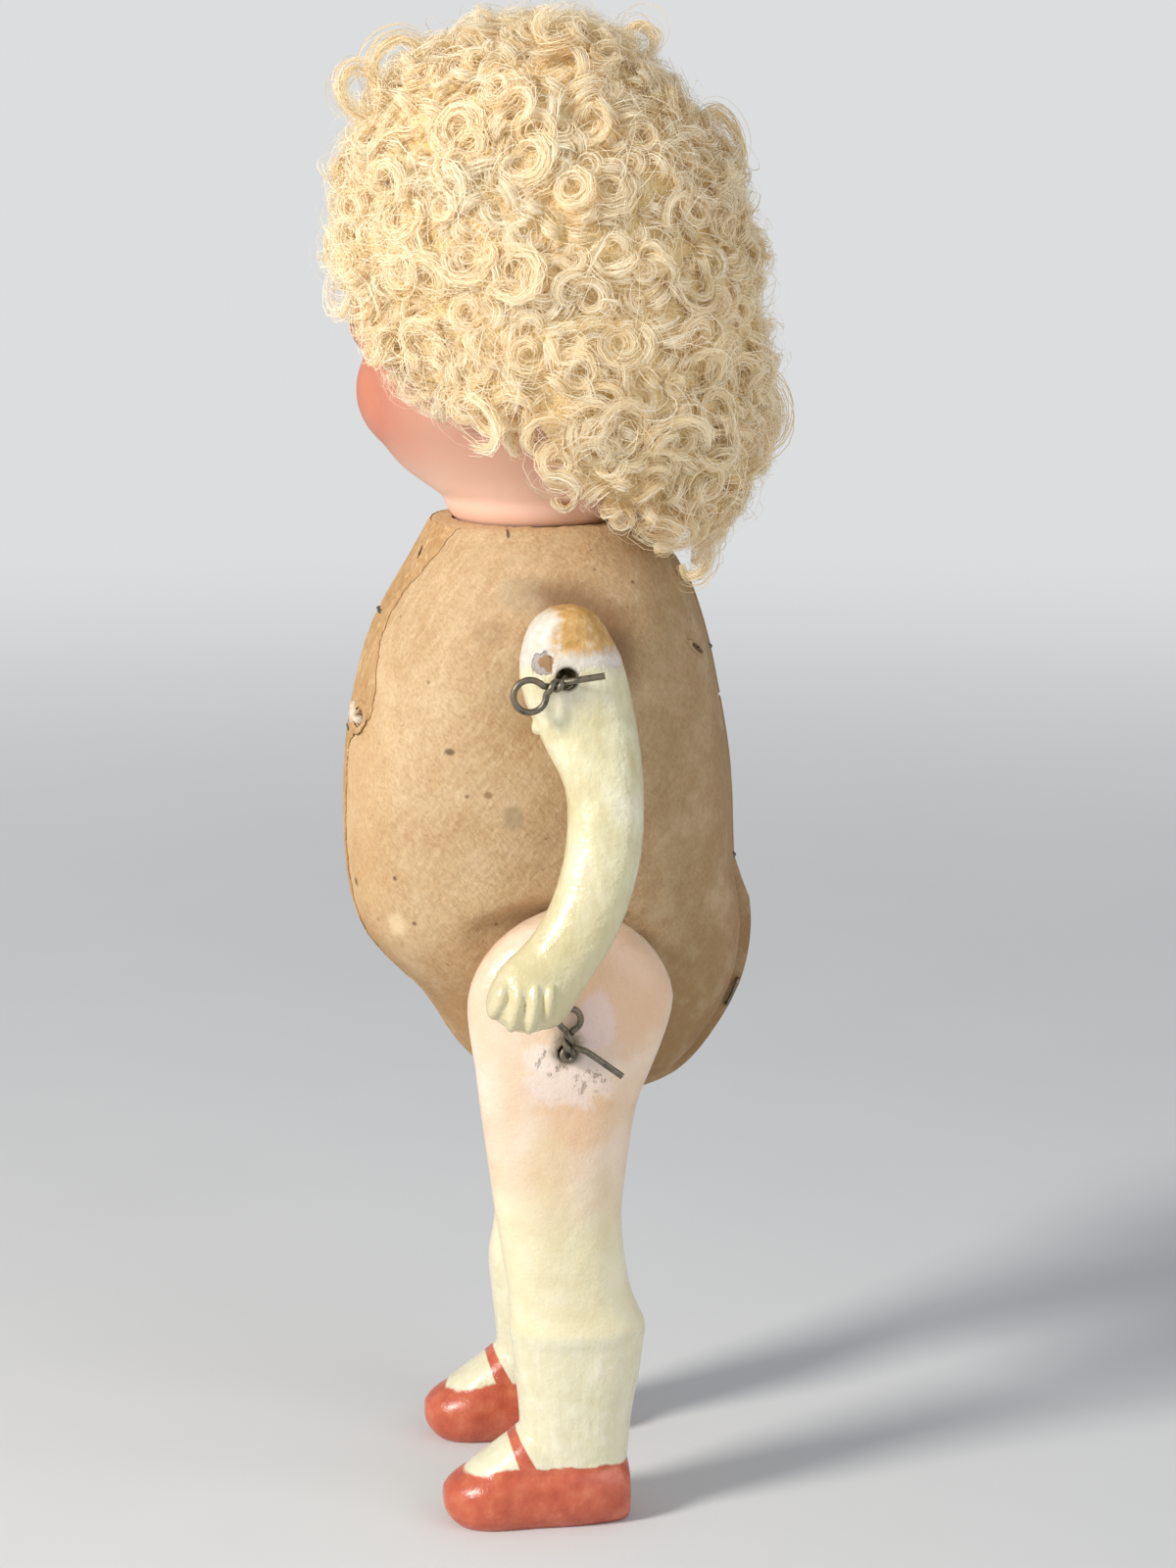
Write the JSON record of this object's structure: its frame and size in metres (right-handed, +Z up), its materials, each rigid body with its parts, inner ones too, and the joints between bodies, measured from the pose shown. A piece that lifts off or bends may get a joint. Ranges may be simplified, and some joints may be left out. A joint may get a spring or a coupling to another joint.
{
  "type": "doll",
  "caption": "Small standing doll with a bisque socket head, curly mohair wig, pressed-card body and wire-jointed painted arms and legs.",
  "frame": {"origin": "on the surface that the doll stands on, under the middle of its box", "axes": "+Z up; the doll faces -Y and its left side is +X"},
  "size_m": [0.0736, 0.0621, 0.1908],
  "materials": {
    "bisque": "satin",
    "eye_glass": "polished",
    "plaster": "matte",
    "pressed_card": "matte",
    "seam_paper": "matte",
    "gauze": "matte",
    "mohair": "satin",
    "turned_wood": "matte",
    "iron_wire": "satin",
    "arm_composition": "gloss",
    "leg_composition": "gloss"
  },
  "bodies": {
    "torso": {"torso_left_half": "pressed_card", "torso_right_half": "pressed_card", "front_seam_paper": "seam_paper", "front_staple_upper": "iron_wire", "front_staple_lower": "iron_wire", "back_staple_upper": "iron_wire", "back_staple_middle": "iron_wire", "back_staple_lower": "iron_wire", "arm_wire": "iron_wire", "leg_wire": "iron_wire", "neck_hook": "iron_wire"},
    "head": {"head": "bisque", "left_eye": "eye_glass", "right_eye": "eye_glass", "left_eye_plaster": "plaster", "right_eye_plaster": "plaster", "crown_pate": "pressed_card", "wig_cap": "gauze", "hair_crown": "mohair", "hair_fringe": "mohair", "hair_left": "mohair", "hair_right": "mohair", "hair_back": "mohair", "neck_button": "turned_wood"},
    "left_arm": {"left_arm": "arm_composition"},
    "right_arm": {"right_arm": "arm_composition"},
    "left_leg": {"left_leg": "leg_composition"},
    "right_leg": {"right_leg": "leg_composition"}
  },
  "joints": [
    {"name": "neck_turn", "type": "hinge", "parent": "torso", "child": "head", "pos_m": [0, -0.00351, 0.1285], "axis": [0, 0, 1], "range_deg": [-48, 112]},
    {"name": "left_shoulder", "type": "hinge", "parent": "torso", "child": "left_arm", "pos_m": [0, -0.00331, 0.1128], "axis": [-1, 0, 0], "range_deg": [-90, 130]},
    {"name": "right_shoulder", "type": "hinge", "parent": "torso", "child": "right_arm", "pos_m": [0, -0.00331, 0.1128], "axis": [-1, 0, 0], "range_deg": [-90, 130]},
    {"name": "left_hip", "type": "hinge", "parent": "torso", "child": "left_leg", "pos_m": [0, -0.00271, 0.065], "axis": [-1, 0, 0], "range_deg": [-50, 95]},
    {"name": "right_hip", "type": "hinge", "parent": "torso", "child": "right_leg", "pos_m": [0, -0.00271, 0.065], "axis": [-1, 0, 0], "range_deg": [-50, 95]}
  ]
}
